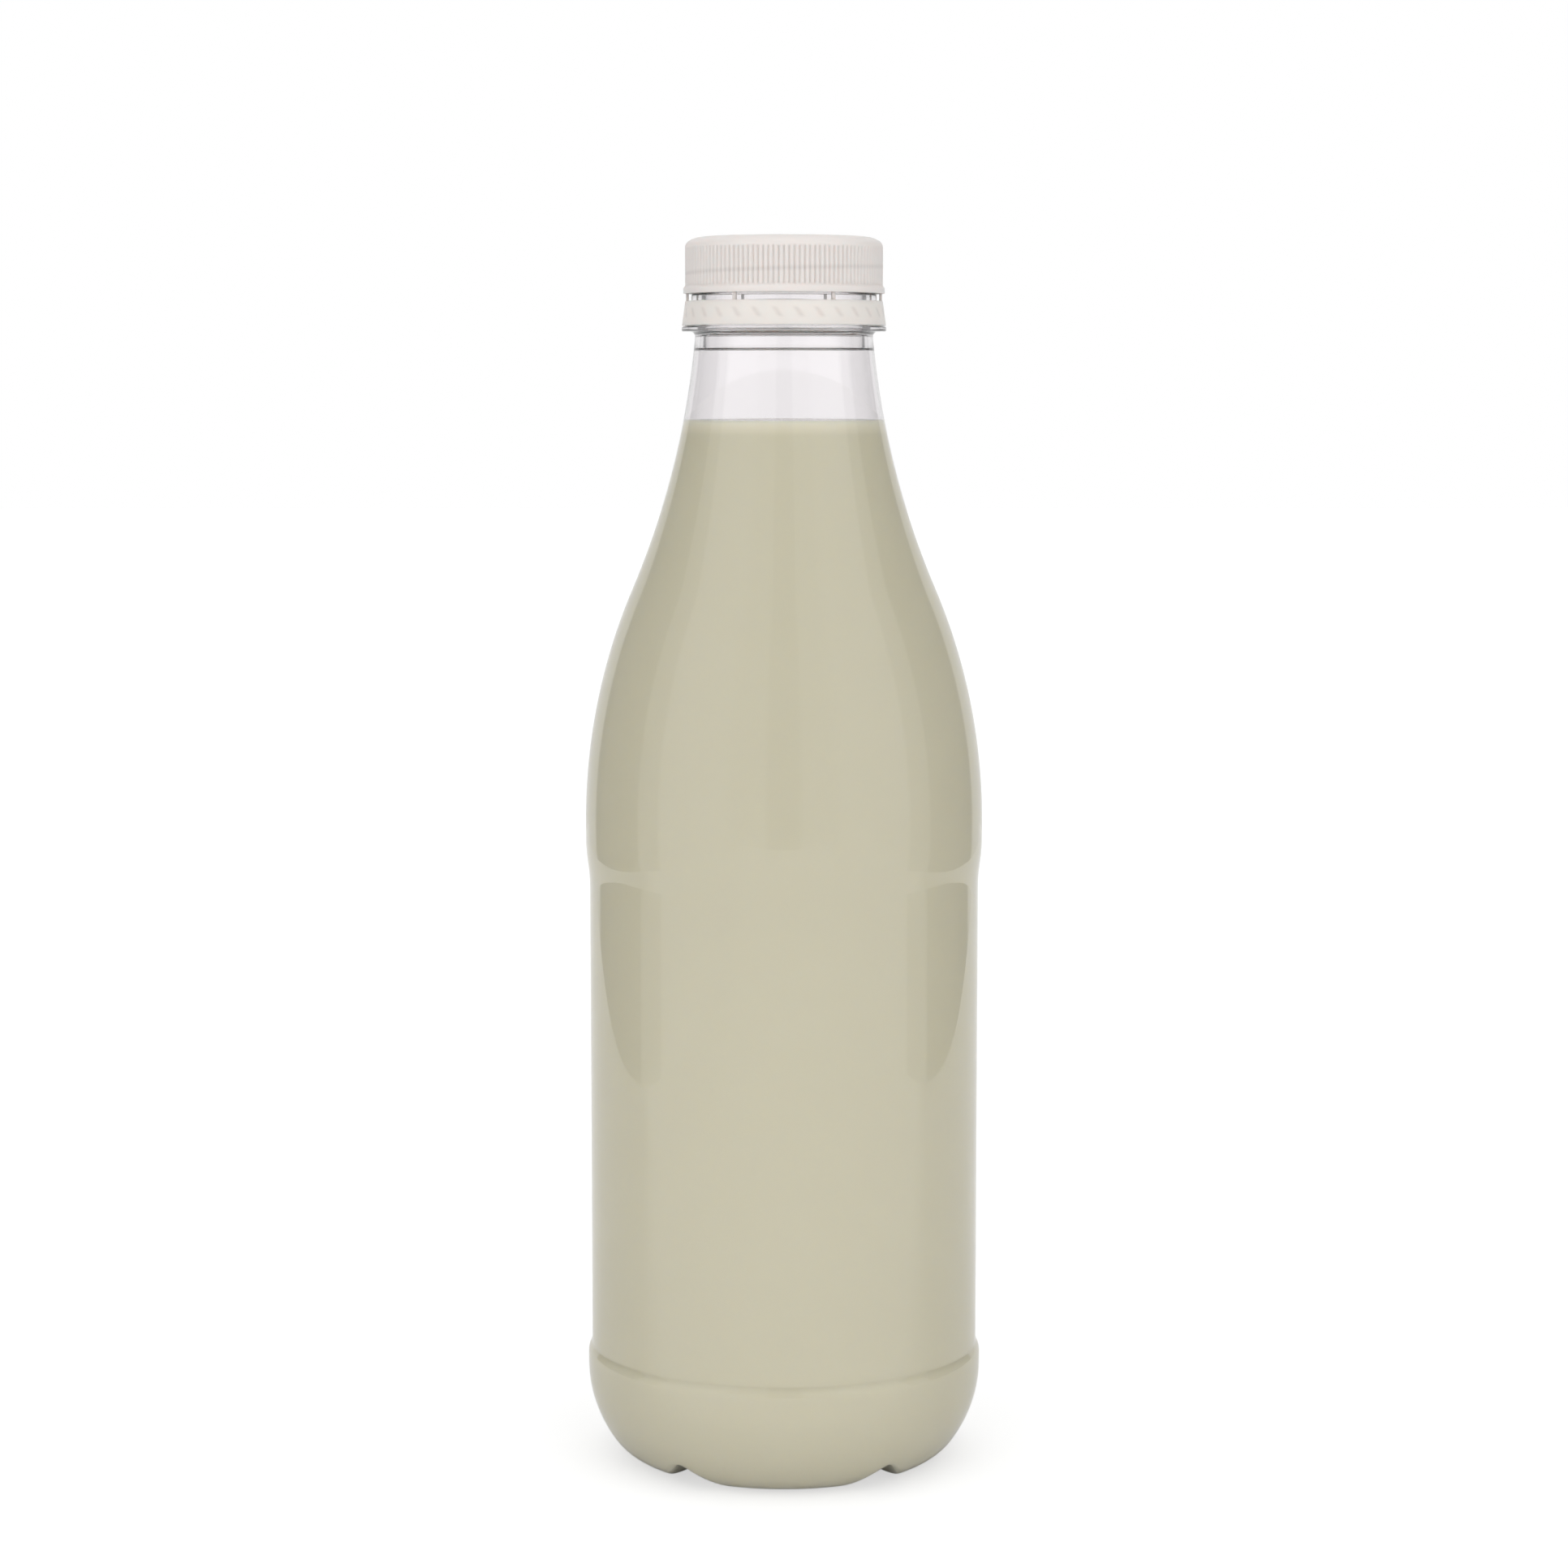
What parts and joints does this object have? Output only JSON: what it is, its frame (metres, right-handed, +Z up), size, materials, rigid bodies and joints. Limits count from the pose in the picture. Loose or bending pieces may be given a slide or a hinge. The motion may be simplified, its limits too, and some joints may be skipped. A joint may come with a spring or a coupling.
{
  "type": "plastic milk bottle",
  "caption": "Clear blown bottle of milk with a long neck, a pushed-up base between stubby feet, and a ribbed white screw closure whose tamper band is still unbroken.",
  "frame": {"origin": "middle of the base, on the plane that the five feet stand on", "axes": "+Z up along the bottle's axis; -Y is the front, where one foot points"},
  "size_m": [0.0844, 0.0844, 0.2605],
  "materials": {
    "pet": "clear stretch-blown PET",
    "milk": "fresh milk, opaque and slightly creamy",
    "hdpe": "natural white moulded HDPE, slightly translucent"
  },
  "bodies": {
    "root": {"bottle": "pet", "milk": "milk", "closure": "hdpe"}
  },
  "joints": []
}
